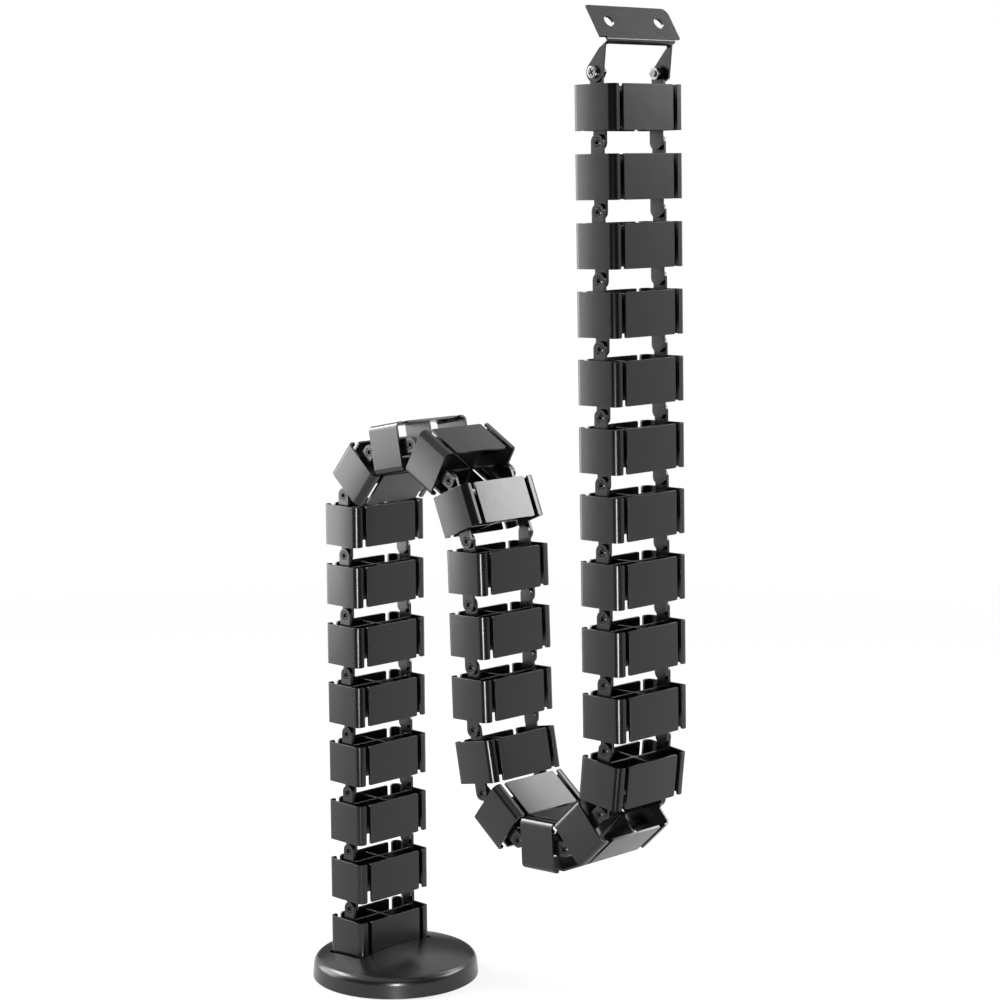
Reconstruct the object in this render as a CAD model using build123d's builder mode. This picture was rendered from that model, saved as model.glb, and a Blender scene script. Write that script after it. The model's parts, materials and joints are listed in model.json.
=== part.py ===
from build123d import *
from math import acos, atan2, cos, hypot, radians, sin
import os

os.makedirs("parts", exist_ok=True)

# Link: a rounded sleeve that is split by four cable slits and carried by two crossing ribs
link_width = 65.4
link_depth = 33.5
link_height = 28.0
link_pitch = 42.0
corner_radius = 4.0
wall = 1.6
rib_thickness = 1.6
rib_setback = 2.0
boss_diameter = 5.0
slit_width = 3.6
slit_inset = 8.1
slit_lead = 1.1

# Ears and pegs that hinge one link to the next
ear_width = 9.9
ear_thickness = 2.0
ear_inset = 3.6
ear_root = 9.0
side_play = 0.3
peg_diameter = 5.9
peg_chamfer = 0.5
peg_core_diameter = 3.2
peg_core_depth = 1.8
peg_hole_diameter = 6.0

# How the chain stands: three upright columns joined by a bend over the top and one at the bottom
first_column_links = 8
middle_column_links = 3
last_column_links = 10
top_bends = (40.2, 38.5, 40.9, 37.7, 20.6)
bottom_bends = (8.9, 41.6, 40.2, 40.5, 40.7, 6.9)

# Base: a domed cover over a steel weight, with a pad under it
base_radius = 58.5
rim_draft = 1.2
rim_lift = 0.5
crown_height = 20.6
shoulder_height = 14.0
shoulder_radius = 6.0
cover_wall = 2.2
seat_height = 14.6
seat_play = 0.4
seat_end_play = 2.8
seat_floor = 2.2
first_link_offset = 16.0
pad_gap = 0.6
pad_thickness = 1.5
weight_gap = 1.8
weight_thickness = 10.4
weight_chamfer = 3.0
lug_pocket_play = 1.2
rear_screw_gap = 3.5
front_screw_angle = 55.0
base_screw_edge = 9.5
base_screw_diameter = 4.0
base_screw_length = 13.4
base_screw_play = 0.3
base_screw_head_diameter = 8.0
boss_wall = 2.2

# Desk bracket: one folded steel sheet, and the screws that it swings on
sheet = 1.5
plate_width = 72.4
plate_depth = 22.2
notch_depth = 2.4
plate_height = 18.8
plate_corner_radius = 5.0
web_offset = 9.8
web_bottom = 15.8
window_corner_radius = 4.0
leg_end_radius = 6.2
leg_front_foot = 4.4
leg_front_top = 16.8
bend_radius = 1.6
desk_hole_diameter = 7.6
desk_hole_spacing = 45.2
bracket_tilt = 58.0
pivot_head_diameter = 8.0
pivot_head_height = 2.2
pivot_head_round = 0.9
pivot_thread_diameter = 4.0
nut_width = 7.0
nut_height = 3.2
nut_play = 0.04
thread_end = 1.0
recess_length = 4.4
recess_width = 1.0
recess_depth = 1.2

# Sizes worked out from the ones above
half_width = link_width / 2
half_height = link_height / 2
pin_reach = link_pitch / 2
wall_face = half_width - wall
outer_ear_face = half_width - ear_inset
inner_ear_face = outer_ear_face - ear_thickness - side_play
inner_width = link_width - 2 * wall
inner_depth = link_depth - 2 * wall
rib_top = half_height - rib_setback
slit_offset = half_width - slit_inset
sides = (1, -1)


def ear_outline(plane, pin_height, root_height):
    """One ear seen along the pin: a strip from its root, with a round end about the pin."""
    with BuildSketch(plane) as outline:
        with Locations((0, (pin_height + root_height) / 2)):
            Rectangle(ear_width, abs(pin_height - root_height))
        with Locations((0, pin_height)):
            Circle(ear_width / 2)
    return outline.sketch


def round_outline(plane, height, diameter):
    """A disc about a pin, seen along it."""
    with BuildSketch(plane) as outline:
        with Locations((0, height)):
            Circle(diameter / 2)
    return outline.sketch


# One link, with the chain running along Z and its hinge pins along X
with BuildPart() as vertebra:
    with BuildSketch(Plane.XY.offset(-half_height)):
        RectangleRounded(link_width, link_depth, corner_radius)
        RectangleRounded(inner_width, inner_depth, corner_radius - wall, mode=Mode.SUBTRACT)
        with GridLocations(2 * slit_offset, link_depth, 2, 2):
            Rectangle(slit_width, 2 * corner_radius, mode=Mode.SUBTRACT)
    extrude(amount=link_height)
    slit_ends = vertebra.edges().filter_by(Axis.Y).filter_by(lambda edge: edge.length < 2 * wall)
    fillet(slit_ends, slit_lead)
    with BuildSketch(Plane.XY.offset(-rib_top)):
        Rectangle(inner_width, rib_thickness)
        Rectangle(rib_thickness, inner_depth)
        Circle(boss_diameter / 2)
    extrude(amount=2 * rib_top)
    for side in sides:
        for end, ear_face in ((1, outer_ear_face), (-1, inner_ear_face)):
            face_plane = Plane.YZ.offset(side * ear_face)
            root = half_height - ear_root
            extrude(ear_outline(face_plane, end * pin_reach, end * root), amount=-side * ear_thickness)
            with BuildSketch(Plane.YZ.offset(side * wall_face)):
                with Locations((0, end * (root + rib_top) / 2)):
                    Rectangle(ear_width, rib_top - root)
            extrude(amount=-side * (wall_face - ear_face + ear_thickness))
        extrude(
            round_outline(Plane.YZ.offset(side * inner_ear_face), -pin_reach, peg_diameter),
            amount=side * (outer_ear_face - inner_ear_face),
        )
        extrude(
            round_outline(Plane.YZ.offset(side * outer_ear_face), pin_reach, peg_hole_diameter),
            amount=-side * ear_thickness,
            mode=Mode.SUBTRACT,
        )
    peg_rims = vertebra.edges().filter_by(GeomType.CIRCLE).filter_by(
        lambda edge: edge.center().Z < 0 and abs(abs(edge.center().X) - outer_ear_face) < side_play
    )
    chamfer(peg_rims, peg_chamfer)
    for side in sides:
        core_face = Plane.YZ.offset(side * outer_ear_face)
        peg_core = round_outline(core_face, -pin_reach, peg_core_diameter)
        extrude(peg_core, amount=-side * peg_core_depth, mode=Mode.SUBTRACT)

# The tilt of every link from upright: each bend turns the rest of the chain
tilts = [0.0] * first_column_links
for bend in top_bends[:-1]:
    tilts.append(tilts[-1] + bend)
tilts += [tilts[-1] + top_bends[-1]] * middle_column_links
for bend in bottom_bends[:-1]:
    tilts.append(tilts[-1] - bend)
tilts += [tilts[-1] - bottom_bends[-1]] * last_column_links

# The links, placed pin to pin up from the seat in the base
base_pin = Vector(0, first_link_offset, seat_height + half_height - pin_reach)
pin = base_pin
for number, tilt in enumerate(tilts, start=1):
    along = Vector(0, -sin(radians(tilt)), cos(radians(tilt)))
    with BuildPart(Plane(origin=pin + along * pin_reach, x_dir=(1, 0, 0), z_dir=along)) as link:
        add(vertebra.part)
    link.part.label = f"link_{number:02d}"
    export_step(link.part, f"parts/{link.part.label}.step")
    pin += along * link_pitch

# The base's outline: a crowned top that meets a slightly drafted side in a round shoulder
shoulder_reach = base_radius - rim_draft
crown_rise = crown_height - shoulder_height
crown_radius = (shoulder_reach**2 + crown_rise**2) / (2 * crown_rise)


def dome_section(inset, foot):
    """Half of the base's section, or of the room inside it, which is inset by the wall."""
    crown = (0, crown_height - inset)
    shoulder = (shoulder_reach - inset, shoulder_height - inset)
    with BuildSketch(Plane.XZ) as section:
        with BuildLine():
            RadiusArc(crown, shoulder, crown_radius)
            Polyline(shoulder, (base_radius - inset, foot), (0, foot), crown)
        make_face()
        fillet(section.vertices().sort_by_distance(Vector(*shoulder))[0], shoulder_radius - inset)
    return section.sketch


weight_top = pad_thickness + weight_thickness
weight_radius = shoulder_reach - cover_wall - weight_gap
seat_corner = corner_radius + seat_play
seat_width = link_width + 2 * seat_end_play
seat_depth = link_depth + 2 * seat_play
box_width = seat_width + 2 * cover_wall
box_depth = seat_depth + 2 * cover_wall
rear_screw_reach = box_width / 2 + rear_screw_gap
front_screw_circle = weight_radius - base_screw_edge
front_screw_x = front_screw_circle * cos(radians(front_screw_angle))
front_screw_y = -front_screw_circle * sin(radians(front_screw_angle))
screw_places = [
    (-rear_screw_reach, first_link_offset),
    (rear_screw_reach, first_link_offset),
    (-front_screw_x, front_screw_y),
    (front_screw_x, front_screw_y),
]

# The room inside the cover, less the box under the seat and the screw bosses
with BuildPart() as cover_room:
    revolve(dome_section(cover_wall, 0), axis=Axis.Z)
    with BuildSketch(Plane.XY.offset(seat_height - seat_floor)):
        with Locations((0, first_link_offset)):
            RectangleRounded(box_width, box_depth, seat_corner + cover_wall)
    extrude(amount=crown_height, mode=Mode.SUBTRACT)
    with BuildSketch(Plane.XY.offset(weight_top)):
        with Locations(*screw_places):
            Circle(base_screw_diameter / 2 + boss_wall)
    extrude(amount=crown_height, mode=Mode.SUBTRACT)

# The cover: a dome with a seat for the first link, and two lugs below that hold the link's pegs
lug_plane = Plane(origin=base_pin, x_dir=(0, 1, 0), z_dir=(1, 0, 0))
lug_root = seat_height - seat_floor / 2 - base_pin.Z
with BuildPart() as base_cover:
    revolve(dome_section(0, rim_lift), axis=Axis.Z)
    add(cover_room.part, mode=Mode.SUBTRACT)
    with BuildSketch(Plane.XY.offset(seat_height)):
        with Locations((0, first_link_offset)):
            RectangleRounded(seat_width, seat_depth, seat_corner)
    extrude(amount=crown_height, mode=Mode.SUBTRACT)
    for side in sides:
        lug_face = lug_plane.offset(side * outer_ear_face)
        extrude(ear_outline(lug_face, 0, lug_root), amount=-side * ear_thickness)
        lug_hole = round_outline(lug_face, 0, peg_hole_diameter)
        extrude(lug_hole, amount=-side * ear_thickness, mode=Mode.SUBTRACT)
        with BuildSketch(lug_plane.offset(side * (outer_ear_face - ear_thickness))):
            with Locations((0, lug_root)):
                Rectangle(ear_width + 2 * side_play, 2 * seat_floor)
        extrude(amount=-side * (ear_thickness + 2 * side_play), mode=Mode.SUBTRACT)
    with BuildSketch(Plane.XY.offset(weight_top)):
        with Locations(*screw_places):
            Circle(base_screw_diameter / 2)
    extrude(amount=base_screw_length - weight_thickness, mode=Mode.SUBTRACT)

base_cover.part.label = "base_cover"
export_step(base_cover.part, "parts/base_cover.step")

# The weight: a thick steel disc with two pockets for the lugs and four countersunk holes
pocket_outer = outer_ear_face + lug_pocket_play
pocket_inner = inner_ear_face - ear_thickness - lug_pocket_play
with BuildPart() as base_weight:
    with BuildSketch(Plane.XY.offset(pad_thickness)):
        Circle(weight_radius)
        for side in sides:
            with Locations((side * (pocket_outer + pocket_inner) / 2, first_link_offset)):
                Rectangle(
                    pocket_outer - pocket_inner, ear_width + 2 * lug_pocket_play, mode=Mode.SUBTRACT
                )
        with Locations(*screw_places):
            Circle(base_screw_diameter / 2 + base_screw_play, mode=Mode.SUBTRACT)
    extrude(amount=weight_thickness)
    with BuildSketch(Plane.XY.offset(pad_thickness)):
        with Locations(*screw_places):
            Circle(base_screw_head_diameter / 2 + base_screw_play)
    extrude(amount=(base_screw_head_diameter - base_screw_diameter) / 2, taper=45, mode=Mode.SUBTRACT)
    top_circles = base_weight.edges().filter_by(GeomType.CIRCLE).group_by(Axis.Z)[-1]
    chamfer(top_circles.sort_by(SortBy.RADIUS)[-1], weight_chamfer)

base_weight.part.label = "base_weight"
export_step(base_weight.part, "parts/base_weight.step")

# Four countersunk screws that hold the weight to the cover's bosses
with BuildPart() as base_screws:
    with BuildSketch(Plane.XY.offset(pad_thickness)):
        with Locations(*screw_places):
            Circle(base_screw_diameter / 2)
    extrude(amount=base_screw_length)
    with BuildSketch(Plane.XY.offset(pad_thickness)):
        with Locations(*screw_places):
            Circle(base_screw_head_diameter / 2)
    extrude(amount=(base_screw_head_diameter - base_screw_diameter) / 2, taper=45)

base_screws.part.label = "base_screws"
export_step(base_screws.part, "parts/base_screws.step")

# The non-slip pad under the weight
with BuildPart() as base_pad:
    with BuildSketch(Plane.XY):
        Circle(base_radius - cover_wall - pad_gap)
    extrude(amount=pad_thickness)

base_pad.part.label = "base_pad"
export_step(base_pad.part, "parts/base_pad.step")

# The bracket's own frame: X along the last pin, Y to the back of the plate, Z square to the plate
bracket_up = Vector(0, -sin(radians(bracket_tilt)), cos(radians(bracket_tilt)))
bracket_frame = Plane(origin=pin, x_dir=(1, 0, 0), z_dir=bracket_up)
leg_view = Plane(origin=pin, x_dir=bracket_frame.y_dir, z_dir=(1, 0, 0))
leg_inner_face = outer_ear_face + side_play
leg_outer_face = leg_inner_face + sheet
web_back = web_offset + sheet
plate_front = web_offset + notch_depth
plate_top = plate_height + sheet

# The leg's back edge runs from the web's foot down to the round end, which it meets smoothly
foot_turn = atan2(web_bottom, web_back) - acos(leg_end_radius / hypot(web_back, web_bottom))
leg_back_foot = (leg_end_radius * cos(foot_turn), leg_end_radius * sin(foot_turn))
leg_corners = (
    (0, 0),
    leg_back_foot,
    (web_back, web_bottom),
    (web_back, plate_height),
    (web_offset, plate_height),
    (web_offset, leg_front_top),
    (-leg_end_radius, leg_front_foot),
    (-leg_end_radius, 0),
)

# The web and the legs are one U seen from above, cut to the legs' side view and opened by a window below
# the web, and the plate is folded back
with BuildPart() as bracket:
    with BuildSketch(bracket_frame.offset(-leg_end_radius)) as fold:
        with Locations((0, (web_back - leg_end_radius) / 2)):
            Rectangle(2 * leg_outer_face, web_back + leg_end_radius)
        fillet(fold.vertices().group_by(Axis.Y)[-1], bend_radius)
        with Locations((0, (web_offset - leg_end_radius) / 2)):
            Rectangle(2 * leg_inner_face, web_offset + leg_end_radius, mode=Mode.SUBTRACT)
    extrude(amount=plate_height + leg_end_radius)
    with BuildSketch(leg_view.offset(-leg_outer_face)):
        Polygon(*leg_corners, align=None)
        Circle(leg_end_radius)
        Circle(peg_hole_diameter / 2, mode=Mode.SUBTRACT)
    extrude(amount=2 * leg_outer_face, mode=Mode.INTERSECT)
    window_height = web_bottom + leg_end_radius
    with BuildSketch(Plane(origin=pin, x_dir=(1, 0, 0), z_dir=bracket_frame.y_dir)) as window:
        with Locations((0, leg_end_radius - window_height / 2)):
            Rectangle(2 * leg_inner_face, window_height)
        fillet(window.vertices().group_by(Axis.Y)[0], window_corner_radius)
    extrude(amount=web_back, mode=Mode.SUBTRACT)
    with BuildSketch(bracket_frame.offset(plate_height)) as plate_outline:
        with Locations((0, plate_front + plate_depth / 2)):
            Rectangle(plate_width, plate_depth)
        fillet(plate_outline.vertices().group_by(Axis.Y)[-1].sort_by(Axis.X)[-1], plate_corner_radius)
        with Locations((0, (web_offset + plate_front) / 2)):
            Rectangle(2 * leg_outer_face, notch_depth)
        with Locations((0, plate_front + plate_depth / 2)):
            with GridLocations(desk_hole_spacing, 1, 2, 1):
                Circle(desk_hole_diameter / 2, mode=Mode.SUBTRACT)
    extrude(amount=sheet)
    plate_bend = bracket_frame.from_local_coords(Vector(0, web_offset, plate_top))
    fillet(bracket.edges().sort_by_distance(plate_bend)[0], bend_radius)

bracket.part.label = "bracket"
export_step(bracket.part, "parts/bracket.step")

# The two pivot screws: a pan head outside the leg, a shoulder that the link turns on, then thread
shoulder_end = outer_ear_face - ear_thickness - side_play
with BuildPart() as pivot_screws:
    for side in sides:
        head_face = leg_view.offset(side * leg_outer_face)
        extrude(round_outline(head_face, 0, pivot_head_diameter), amount=side * pivot_head_height)
        extrude(round_outline(head_face, 0, peg_diameter), amount=-side * (leg_outer_face - shoulder_end))
        extrude(
            round_outline(leg_view.offset(side * shoulder_end), 0, pivot_thread_diameter),
            amount=-side * (nut_height + thread_end),
        )
    head_top = leg_outer_face + pivot_head_height
    head_rims = pivot_screws.edges().filter_by(lambda edge: abs(abs(edge.center().X) - head_top) < side_play)
    fillet(head_rims, pivot_head_round)
    for side in sides:
        with BuildSketch(leg_view.offset(side * head_top)):
            Rectangle(recess_length, recess_width)
            Rectangle(recess_width, recess_length)
        extrude(amount=-side * recess_depth, mode=Mode.SUBTRACT)

pivot_screws.part.label = "pivot_screws"
export_step(pivot_screws.part, "parts/pivot_screws.step")

# Their nuts, inside the last link's ears
with BuildPart() as pivot_nuts:
    for side in sides:
        with BuildSketch(leg_view.offset(side * shoulder_end)):
            RegularPolygon(nut_width / 2, 6, major_radius=False)
            Circle(pivot_thread_diameter / 2 + nut_play, mode=Mode.SUBTRACT)
        extrude(amount=-side * nut_height)

pivot_nuts.part.label = "pivot_nuts"
export_step(pivot_nuts.part, "parts/pivot_nuts.step")
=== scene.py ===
import bpy
import bmesh
import json
from math import cos, radians, sin
from mathutils import Matrix, Vector

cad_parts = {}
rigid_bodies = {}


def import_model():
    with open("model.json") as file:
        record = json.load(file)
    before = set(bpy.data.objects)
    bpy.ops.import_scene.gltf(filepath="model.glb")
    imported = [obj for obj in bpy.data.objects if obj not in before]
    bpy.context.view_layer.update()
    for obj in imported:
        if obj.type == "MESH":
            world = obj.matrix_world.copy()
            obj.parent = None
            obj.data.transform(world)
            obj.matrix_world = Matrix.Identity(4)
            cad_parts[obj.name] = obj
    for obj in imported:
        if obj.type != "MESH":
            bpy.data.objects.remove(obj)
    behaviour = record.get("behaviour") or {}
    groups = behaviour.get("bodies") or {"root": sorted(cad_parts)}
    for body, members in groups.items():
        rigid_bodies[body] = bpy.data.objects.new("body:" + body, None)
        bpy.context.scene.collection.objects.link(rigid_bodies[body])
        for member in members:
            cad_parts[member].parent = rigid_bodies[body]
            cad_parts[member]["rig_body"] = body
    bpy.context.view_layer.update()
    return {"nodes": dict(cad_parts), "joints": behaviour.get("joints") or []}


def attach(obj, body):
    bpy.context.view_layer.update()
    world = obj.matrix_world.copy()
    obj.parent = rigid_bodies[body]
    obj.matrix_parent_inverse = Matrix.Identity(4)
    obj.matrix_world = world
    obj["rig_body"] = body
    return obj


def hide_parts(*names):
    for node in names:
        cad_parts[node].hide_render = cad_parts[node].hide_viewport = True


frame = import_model()

# The camera stands on the side of the base's left front, a little above the top bend,
# and looks down by a few degrees through a long lens.
photo_side = 1000
focal_pixels = 2490.6
sensor_width = 36
camera_place = Vector((-1.15127, -1.2625, 0.57558))
camera_yaw = radians(44.913)
camera_fall = radians(7.909)
camera_roll = radians(-0.351)

camera_data = bpy.data.cameras.new("photo_camera")
camera_data.sensor_width = sensor_width
camera_data.lens = focal_pixels / photo_side * sensor_width
camera_data.clip_start = 0.05
camera_data.clip_end = 20
camera = bpy.data.objects.new("photo_camera", camera_data)
bpy.context.scene.collection.objects.link(camera)
bpy.context.scene.camera = camera
look = Vector((sin(camera_yaw) * cos(camera_fall), cos(camera_yaw) * cos(camera_fall), -sin(camera_fall)))
camera_turn = look.to_track_quat("-Z", "Y").to_matrix() @ Matrix.Rotation(camera_roll, 3, "Z")
camera.matrix_world = Matrix.Translation(camera_place) @ camera_turn.to_4x4()


# The thirty links are one moulding in black plastic, snapped peg to hole into a chain.
# Each is a split sleeve on two crossing ribs, with a fine spark-eroded satin on its faces.
MILLI = 0.001
link_names = sorted(name for name in frame["nodes"] if name.startswith("link_"))
hinges = [Vector(joint["pos_m"]) for joint in frame["joints"]]
pitch = (hinges[1] - hinges[0]).length
pins = [hinges[0] - Vector((0, 0, pitch))] + hinges
edge_round = 0.22 * MILLI
edge_steps = 2
sharp_angle = radians(35)
flat_angle = radians(0.5)
same_place = 0.001 * MILLI

# Patterns have a scale in cells to the metre, and a gloss that says how far they sway the roughness
mottle_scale = 55.0
mottle_gloss = 0.04
smudge_scale = 140.0
smudge_gloss = 0.05
grain_scale = 2600.0
grain_strength = 0.35

# The mottle runs between two shares of a tone, and the blue lies a little above the rest
dark_share = 0.8
light_share = 1.25
blue_share = 0.02
plastic_index = 1.46

# A crowned face falls off with the square of the way from its middle, across and through the link
link_crown = (1.0, 1.1)


class Wire:
    """One output of a node in a tree, so that a sum or a product of outputs reads as plain maths."""

    def __init__(self, tree, socket):
        self.tree = tree
        self.socket = socket

    def beside(self, name):
        """Another output of the same node."""
        return Wire(self.tree, self.socket.node.outputs[name])

    def maths(self, operation, *values):
        """One step of maths on the given values."""
        return add_node(self.tree, "ShaderNodeMath", {"operation": operation}, *values)

    def __add__(self, other):
        return self.maths("ADD", self, other)

    def __sub__(self, other):
        return self.maths("SUBTRACT", self, other)

    def __rsub__(self, other):
        return self.maths("SUBTRACT", other, self)

    def __mul__(self, other):
        return self.maths("MULTIPLY", self, other)

    def __pow__(self, other):
        return self.maths("POWER", self, other)

    def above(self, level):
        return self.maths("GREATER_THAN", self, level)

    def below(self, level):
        return self.maths("LESS_THAN", self, level)

    def largest(self, other):
        return self.maths("MAXIMUM", self, other)

    # A number can also stand first
    __radd__ = __add__
    __rmul__ = __mul__


def add_node(tree, kind, settings=None, *values, output=0, **named):
    """Adds a node: first its settings, then its inputs by place or by name. Gives one output, or none."""
    node = tree.nodes.new(kind)
    for name, setting in (settings or {}).items():
        setattr(node, name, setting)
    inputs = list(zip(node.inputs, values))
    inputs += [(node.inputs[name.replace("_", " ")], value) for name, value in named.items()]
    for socket, value in inputs:
        if isinstance(value, Wire):
            tree.links.new(value.socket, socket)
        else:
            socket.default_value = value
    return Wire(tree, node.outputs[output]) if node.outputs else None


def new_material(name):
    """An empty material, and the tree that its finish is built in."""
    material = bpy.data.materials.new(name)
    material.use_nodes = True
    material.node_tree.nodes.clear()
    return material, material.node_tree


def to_surface(shader, kind="ShaderNodeOutputMaterial"):
    """Ends a tree in its surface."""
    add_node(shader.tree, kind, None, Surface=shader)


def own_place(tree):
    """Where a point lies on its own piece, in metres."""
    return add_node(tree, "ShaderNodeTexCoord", output="Object")


def noise(place, scale, detail=3.0, roughness=0.5):
    """A cloudy pattern around 0.5."""
    return add_node(
        place.tree, "ShaderNodeTexNoise", None, Vector=place, Scale=scale, Detail=detail, Roughness=roughness
    )


def between(factor, low, high):
    """A colour between two, by a factor."""
    return add_node(
        factor.tree, "ShaderNodeMix", {"data_type": "RGBA"}, Factor=factor, A=low, B=high, output=2
    )


def grey(tone, share):
    """A black or grey, a touch bluer than neutral."""
    return (tone * share, tone * share, tone * (share + blue_share), 1)


def dark_finish(name, tone, roughness, grain_depth, place_name=None, crown=None):
    """A dark surface with a pebbled grain and a faint mottle, and slightly round faces if it has a crown."""
    material, tree = new_material(name)
    if place_name:
        place = add_node(tree, "ShaderNodeAttribute", {"attribute_name": place_name}, output="Vector")
    else:
        place = own_place(tree)
    mottle = noise(place, mottle_scale, detail=4.0, roughness=0.6)
    smudge = noise(place, smudge_scale, detail=2.0)
    grain = noise(place, grain_scale, detail=2.0)
    colour = between(mottle, grey(tone, dark_share), grey(tone, light_share))
    shine = roughness + (smudge - 0.5) * smudge_gloss + (mottle - 0.5) * mottle_gloss
    bump = add_node(tree, "ShaderNodeBump", None, Strength=grain_strength, Distance=grain_depth, Height=grain)
    if crown:
        across = add_node(tree, "ShaderNodeSeparateXYZ", None, place, output="X")
        deep = across.beside("Y")
        rise = across * across * -crown[0] + deep * deep * -crown[1]
        bump = add_node(tree, "ShaderNodeBump", None, Strength=1.0, Distance=1.0, Height=rise, Normal=bump)
    shader = add_node(
        tree,
        "ShaderNodeBsdfPrincipled",
        None,
        Base_Color=colour,
        Roughness=shine,
        IOR=plastic_index,
        Normal=bump,
    )
    to_surface(shader)
    return material


link_plastic = dark_finish(
    "satin_black_link",
    tone=0.0025,
    roughness=0.25,
    grain_depth=0.03 * MILLI,
    place_name="mould",
    crown=link_crown,
)


def clean_copy(node_name, name):
    """A merged copy of a solid's mesh, with the flat faces whole again."""
    mesh = frame["nodes"][node_name].data.copy()
    mesh.name = name
    work = bmesh.new()
    work.from_mesh(mesh)
    bmesh.ops.remove_doubles(work, verts=work.verts, dist=same_place)
    bmesh.ops.dissolve_limit(work, angle_limit=flat_angle, verts=work.verts, edges=work.edges)
    work.to_mesh(mesh)
    work.free()
    mesh.materials.clear()
    if "custom_normal" in mesh.attributes:
        mesh.attributes.remove(mesh.attributes["custom_normal"])
    return mesh


def plain_mesh(holder, name):
    """The mesh that an object's modifiers make, without the object."""
    mesh = bpy.data.meshes.new_from_object(holder.evaluated_get(bpy.context.evaluated_depsgraph_get()))
    bpy.data.objects.remove(holder)
    mesh.name = name
    return mesh


def new_object(name, data):
    """An object in the scene."""
    item = bpy.data.objects.new(name, data)
    bpy.context.scene.collection.objects.link(item)
    return item


def rounded(mesh, name, width):
    """The mesh with its sharp edges rounded, as a mould leaves them."""
    holder = new_object(name, mesh)
    for face in mesh.polygons:
        face.use_smooth = True
    bevel = holder.modifiers.new("edge_round", "BEVEL")
    bevel.width = width
    bevel.segments = edge_steps
    bevel.limit_method = "ANGLE"
    bevel.angle_limit = sharp_angle
    bevel.harden_normals = True
    bevel.use_clamp_overlap = True
    return plain_mesh(holder, name)


def group_tree(name, inputs):
    """An empty tree that makes geometry, with its geometry in and out, and named inputs after those."""
    tree = bpy.data.node_groups.new(name, "GeometryNodeTree")
    tree.is_modifier = True
    tree.interface.new_socket("Geometry", in_out="INPUT", socket_type="NodeSocketGeometry")
    tree.interface.new_socket("Geometry", in_out="OUTPUT", socket_type="NodeSocketGeometry")
    for label, kind in inputs:
        tree.interface.new_socket(label, in_out="INPUT", socket_type=kind)
    entry = tree.nodes.new("NodeGroupInput")
    ends = {socket.name: Wire(tree, socket) for socket in entry.outputs if socket.name}
    leave = tree.nodes.new("NodeGroupOutput")
    return tree, ends, leave


def chain_tree():
    """Sets one link on one stretch of the line through the hinge pins, with its length along the stretch."""
    tree, ends, leave = group_tree(
        "link_on_chain",
        [("Link", "NodeSocketObject"), ("Stretch", "NodeSocketInt"), ("Material", "NodeSocketMaterial")],
    )
    first = add_node(tree, "GeometryNodeInputMeshEdgeVertices", output="Position 1")
    along = add_node(
        tree, "ShaderNodeVectorMath", {"operation": "SUBTRACT"}, first.beside("Position 2"), first
    )
    capture = tree.nodes.new("GeometryNodeCaptureAttribute")
    capture.domain = "EDGE"
    capture.capture_items.new("VECTOR", "along")
    tree.links.new(ends["Geometry"].socket, capture.inputs["Geometry"])
    tree.links.new(along.socket, capture.inputs["along"])
    middles = add_node(
        tree, "GeometryNodeMeshToPoints", {"mode": "EDGES"}, Mesh=Wire(tree, capture.outputs["Geometry"])
    )
    place = add_node(tree, "GeometryNodeInputIndex")
    chosen = add_node(
        tree, "FunctionNodeCompare", {"data_type": "INT", "operation": "EQUAL"}, A=place, B=ends["Stretch"]
    )
    turn = add_node(
        tree,
        "FunctionNodeAlignRotationToVector",
        {"axis": "Z", "pivot_axis": "X"},
        Vector=Wire(tree, capture.outputs["along"]),
    )
    link = add_node(
        tree,
        "GeometryNodeObjectInfo",
        {"transform_space": "ORIGINAL"},
        Object=ends["Link"],
        output="Geometry",
    )
    placed = add_node(
        tree,
        "GeometryNodeInstanceOnPoints",
        None,
        Points=middles,
        Selection=chosen,
        Instance=link,
        Rotation=turn,
    )
    whole = add_node(tree, "GeometryNodeRealizeInstances", None, placed)
    finished = add_node(tree, "GeometryNodeSetMaterial", None, Geometry=whole, Material=ends["Material"])
    tree.links.new(finished.socket, leave.inputs[0])
    return tree


def grown(name, start_mesh, tree, values):
    """The plain mesh that a tree makes from a starting mesh, with the tree's inputs set by their names."""
    holder = new_object(name, start_mesh)
    modifier = holder.modifiers.new(tree.name, "NODES")
    modifier.node_group = tree
    for item in tree.interface.items_tree:
        if item.item_type == "SOCKET" and item.in_out == "INPUT" and item.name in values:
            modifier[item.identifier] = values[item.name]
    return plain_mesh(holder, name)


# The moulding is taken at the second link, which stands upright, and brought to its own middle
moulding = clean_copy("link_02", "moulding")
moulding.transform(Matrix.Translation(-(pins[1] + pins[2]) / 2))
moulding = rounded(moulding, "moulding", edge_round)
local = moulding.attributes.new("mould", "FLOAT_VECTOR", "POINT")
local.data.foreach_set("vector", [c for v in moulding.vertices for c in v.co])
pattern_link = new_object("pattern_link", moulding)

pin_line = bpy.data.meshes.new("pin_line")
pin_line.from_pydata(pins, [(i, i + 1) for i in range(len(pins) - 1)], [])
link_tree = chain_tree()
for stretch, node_name in enumerate(link_names):
    piece_name = "moulded_" + node_name
    mesh = grown(
        piece_name,
        pin_line,
        link_tree,
        {"Link": pattern_link, "Stretch": stretch, "Material": link_plastic},
    )
    piece = new_object(piece_name, mesh)
    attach(piece, frame["nodes"][node_name]["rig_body"])
    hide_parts(node_name)
bpy.data.objects.remove(pattern_link)


# The base cover is a black moulded dome with a seat for the first link.
# It has the links' satin, in a slightly lighter black and on a shallower grain.
def finish_node(node_name, material):
    """Gives a solid that stays as it is its own finish."""
    mesh = frame["nodes"][node_name].data
    mesh.materials.clear()
    mesh.materials.append(material)


cover_plastic = dark_finish("satin_black_cover", tone=0.007, roughness=0.25, grain_depth=0.02 * MILLI)
finish_node("base_cover", cover_plastic)


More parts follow.
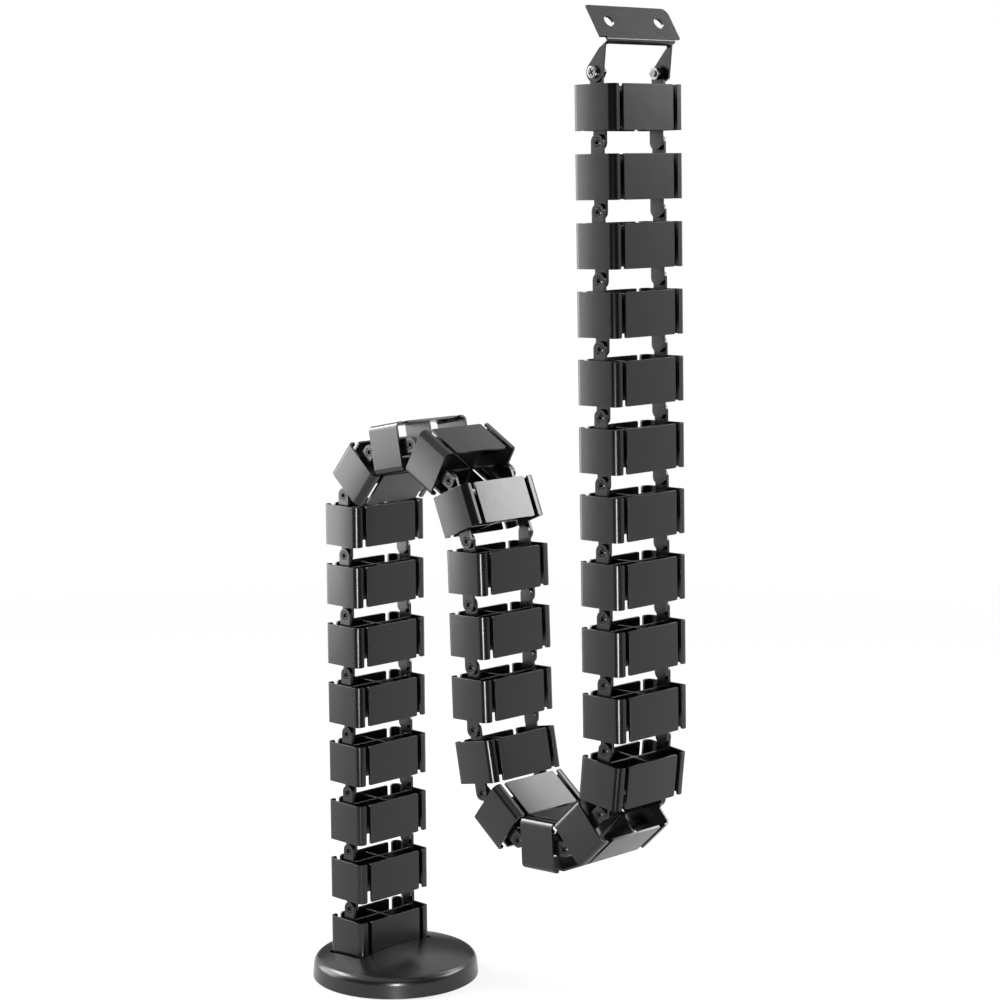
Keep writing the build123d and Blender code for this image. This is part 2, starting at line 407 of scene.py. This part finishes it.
# Under the cover are a rolled steel weight, its screws and the rubber pad that the base stands on.
# Only the pad shows, from below and in the slit under the rim.
streak_scale = 900.0
streak_gloss = 0.16
streak_strength = 0.2
streak_depth = 0.01 * MILLI
cloud_scale = 120.0
cloud_gloss = 0.1
worn_share = 0.88
bright_share = 1.06
# Painted shade: the near black that colours the screws' driver recesses
painted_recess_shade = (0.02, 0.02, 0.02, 1)


def in_recess(place, recess):
    """1 in the driver recess at either end of a pin, else 0, by the pin's middle and the recess's limits."""
    middle, floor_level, mouth_level, reach = recess
    offset = add_node(place.tree, "ShaderNodeVectorMath", {"operation": "SUBTRACT"}, place, middle)
    along = add_node(place.tree, "ShaderNodeSeparateXYZ", None, offset, output="X")
    deep = along.beside("Y")
    high = along.beside("Z")
    away = along.maths("ABSOLUTE", along)
    from_axis = (deep * deep + high * high) ** 0.5
    return away.above(floor_level) * away.below(mouth_level) * from_axis.below(reach)


def metal(name, colour, roughness, brushed=1.0, recess=None):
    """Plain metal: a fine brushed or tumbled surface that varies in gloss, with painted shade in a driver
    recess.
    """
    material, tree = new_material(name)
    place = own_place(tree)
    drawn = add_node(tree, "ShaderNodeMapping", None, Vector=place, Scale=(1, 1, brushed))
    streak = noise(drawn, streak_scale, roughness=0.6)
    cloud = noise(place, cloud_scale)
    shine = roughness + (streak - 0.5) * streak_gloss + (cloud - 0.5) * cloud_gloss
    bump = add_node(
        tree, "ShaderNodeBump", None, Strength=streak_strength, Distance=streak_depth, Height=streak
    )
    worn = tuple(c * worn_share for c in colour) + (1,)
    bright = tuple(c * bright_share for c in colour) + (1,)
    tint = between(cloud, worn, bright)
    if recess:
        # Painted shade: inside the driver recess the tint turns near black
        tint = between(in_recess(place, recess), tint, painted_recess_shade)
    shader = add_node(
        tree,
        "ShaderNodeBsdfPrincipled",
        None,
        Base_Color=tint,
        Metallic=1.0,
        Roughness=shine,
        Normal=bump,
    )
    to_surface(shader)
    return material


zinc = metal("bright_zinc", colour=(0.34, 0.34, 0.35), roughness=0.26)
steel = metal("rolled_steel", colour=(0.42, 0.42, 0.43), roughness=0.42, brushed=12.0)
rubber = dark_finish("rubber_pad", tone=0.02, roughness=0.8, grain_depth=0.12 * MILLI)
finish_node("base_weight", steel)
finish_node("base_screws", zinc)
finish_node("base_pad", rubber)


# The desk bracket is one folded steel sheet in black powder coat.
# Two zinc-plated cross-head screws and nuts hold it in the last link's ears.
bracket_pin = hinges[-1]
# The limits, from the bracket pin, of the painted shade in the screws' cross recesses
recess_floor = 31 * MILLI
recess_mouth = 33 * MILLI
recess_reach = 2.3 * MILLI
driver_recess = (bracket_pin, recess_floor, recess_mouth, recess_reach)
powder_coat = dark_finish("powder_coat", tone=0.008, roughness=0.24, grain_depth=0.02 * MILLI)
screw_zinc = metal("screw_zinc", colour=(0.24, 0.24, 0.25), roughness=0.24, recess=driver_recess)
finish_node("bracket", powder_coat)
finish_node("pivot_screws", screw_zinc)
finish_node("pivot_nuts", zinc)


# The floor is a wide white sheet of matt laminate that the base stands on.
# It melts into the white studio, and keeps a soft shadow under the chain.
floor_reach = 14.0
sheet_scale = 30.0
sheet_dark = (0.88, 0.88, 0.88, 1)
sheet_light = (0.92, 0.92, 0.92, 1)
glow_near = 0.5
glow_far = 1.8
near_glow = 0.75
pure_white = (1, 1, 1, 1)


def light_path(tree):
    """1 for a ray that looks at a thing straight on, in a reflection or through glass, else 0."""
    straight = add_node(tree, "ShaderNodeLightPath", output="Is Camera Ray")
    seen = straight.largest(straight.beside("Is Glossy Ray"))
    return seen.largest(straight.beside("Is Transmission Ray"))


floor_mesh = bpy.data.meshes.new("studio_floor")
floor_corners = [(x * floor_reach, y * floor_reach, 0) for x, y in ((-1, -1), (1, -1), (1, 1), (-1, 1))]
floor_mesh.from_pydata(floor_corners, [], [(0, 1, 2, 3)])
floor = new_object("studio_floor", floor_mesh)
floor_white, tree = new_material("white_floor")
place = own_place(tree)
speck = noise(place, sheet_scale, detail=4.0, roughness=0.6)
matt = add_node(tree, "ShaderNodeBsdfDiffuse", None, between(speck, sheet_dark, sheet_light))
lit = add_node(tree, "ShaderNodeEmission", None, pure_white, 1.0)
# The sheet glows as white as the studio far off, and keeps a quarter of its shade near the base
distance = add_node(tree, "ShaderNodeVectorMath", {"operation": "LENGTH"}, place, output="Value")
glow = add_node(
    tree,
    "ShaderNodeMapRange",
    {"interpolation_type": "SMOOTHSTEP"},
    Value=distance,
    From_Min=glow_near,
    From_Max=glow_far,
    To_Min=near_glow,
    To_Max=1.0,
)
to_surface(add_node(tree, "ShaderNodeMixShader", None, light_path(tree) * glow, matt, lit))
floor_mesh.materials.append(floor_white)


# The studio is a white room with four soft boxes and an upright strip light around the chain.
# Black cards on the camera's side keep the corners of the links dark beside the strip's line in them,
# and a grey card behind dulls the top faces of the ribs and rims.
chain_middle = Vector((0, -0.11, 0.36))
strip_aim = Vector((0, -0.11, 0.15))
paper_scale = 40.0
card_height = 2.0
back_height = 1.05
card_lift = 0.6 * MILLI
camera_fold = ((1.4, -2.7), (0.2, -3.0), (-2.9, 0.1), (-2.55, 1.3))
floor_fan = ((-0.12, -0.38), (-0.38, -0.12), (-2.55, 0.8), (1.0, -2.7))
back_line = ((0.9, 2.5), (2.5, 0.9))
room_light = 0.4

# The watts that a square metre of a soft box's face needs for a brightness of 1
face_power = 4


def add_lamp(name, place, aim, size, brightness):
    """A rectangular soft box that points at a place, by how bright its face is."""
    data = bpy.data.lights.new(name, "AREA")
    data.shape = "RECTANGLE"
    data.size, data.size_y = size
    data.energy = face_power * brightness * size[0] * size[1]
    lamp = new_object(name, data)
    turn = (aim - Vector(place)).to_track_quat("-Z", "Y").to_matrix().to_4x4()
    lamp.matrix_world = Matrix.Translation(place) @ turn
    lamp.visible_camera = False


def card_paper(name, tone):
    """Matt paper of one tone with a faint cloud in it."""
    material, tree = new_material(name)
    to_surface(add_node(tree, "ShaderNodeBsdfDiffuse", None, noise(own_place(tree), paper_scale) * tone))
    return material


def add_card(name, corners, faces, material):
    """A card that only reflections see."""
    mesh = bpy.data.meshes.new(name)
    mesh.from_pydata(corners, [], faces)
    mesh.materials.append(material)
    card = new_object(name, mesh)
    card.visible_camera = False
    card.visible_diffuse = False
    card.visible_shadow = False
    card.visible_transmission = False


def standing_card(name, foot, height, material):
    """A card that stands on the floor and folds along a line."""
    count = len(foot)
    corners = [(x, y, z) for z in (0, height) for x, y in foot]
    faces = [(i, i + 1, i + 1 + count, i + count) for i in range(count - 1)]
    add_card(name, corners, faces, material)


add_lamp("left_box", (-0.523, 1.013, 0.66), chain_middle, size=(0.88, 1.3), brightness=5.2)
add_lamp("back_box", (-0.42, 0.98, 1.1), chain_middle, size=(0.8, 0.35), brightness=12.0)
add_lamp("right_box", (1.28, -0.9, 1.02), chain_middle, size=(1.0, 0.45), brightness=10.5)
add_lamp("top_box", (1.05, -0.12, 1.15), chain_middle, size=(0.4, 0.36), brightness=6.5)
add_lamp("strip_box", (-0.66, -0.74, 0.15), strip_aim, size=(0.04, 0.3), brightness=160.0)
card_black = card_paper("card_black", tone=0.004)
card_grey = card_paper("card_grey", tone=0.3)
standing_card("camera_card", camera_fold, card_height, card_black)
add_card("floor_card", [(x, y, card_lift) for x, y in floor_fan], [(0, 1, 2, 3)], card_black)
standing_card("back_card", back_line, back_height, card_grey)

world = bpy.data.worlds.new("studio")
bpy.context.scene.world = world
world.use_nodes = True
tree = world.node_tree
tree.nodes.clear()
sight = light_path(tree)
plain = add_node(tree, "ShaderNodeBackground", None, Color=pure_white, Strength=room_light)
white = add_node(tree, "ShaderNodeBackground", None, Color=pure_white, Strength=1.0)
to_surface(add_node(tree, "ShaderNodeMixShader", None, sight, plain, white), "ShaderNodeOutputWorld")

bpy.context.scene.view_settings.view_transform = "Standard"
